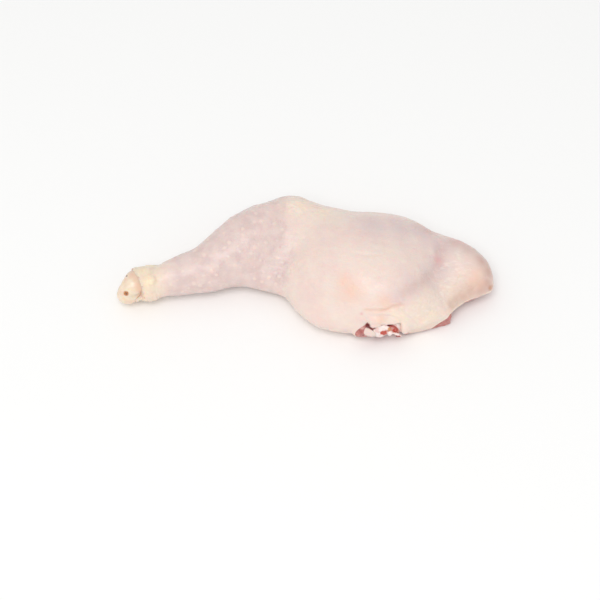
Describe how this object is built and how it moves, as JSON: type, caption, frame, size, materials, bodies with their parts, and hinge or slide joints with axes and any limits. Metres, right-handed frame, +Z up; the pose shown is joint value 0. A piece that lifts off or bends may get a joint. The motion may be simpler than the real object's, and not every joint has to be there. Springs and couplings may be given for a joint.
{
  "type": "raw chicken leg quarter",
  "caption": "Raw chicken thigh and drumstick in one piece, skin on, lying skin side up, with sawn back bone and bare hock knuckle.",
  "frame": {"origin": "on the table, under the middle of the overall box", "axes": "+X from the hock to the tail end, +Y towards the knee's side, +Z up from the table to the skin side"},
  "size_m": [0.227, 0.0962, 0.0449],
  "materials": {
    "skin": "moist pale pink skin over fat, with meat showing where it is cut",
    "knuckle": "smooth moist cartilage",
    "sawn_bone": "sawn bone with red marrow"
  },
  "bodies": {
    "root": {"flesh": "skin", "shank_bone": "knuckle", "back_bone": "sawn_bone"}
  },
  "joints": []
}
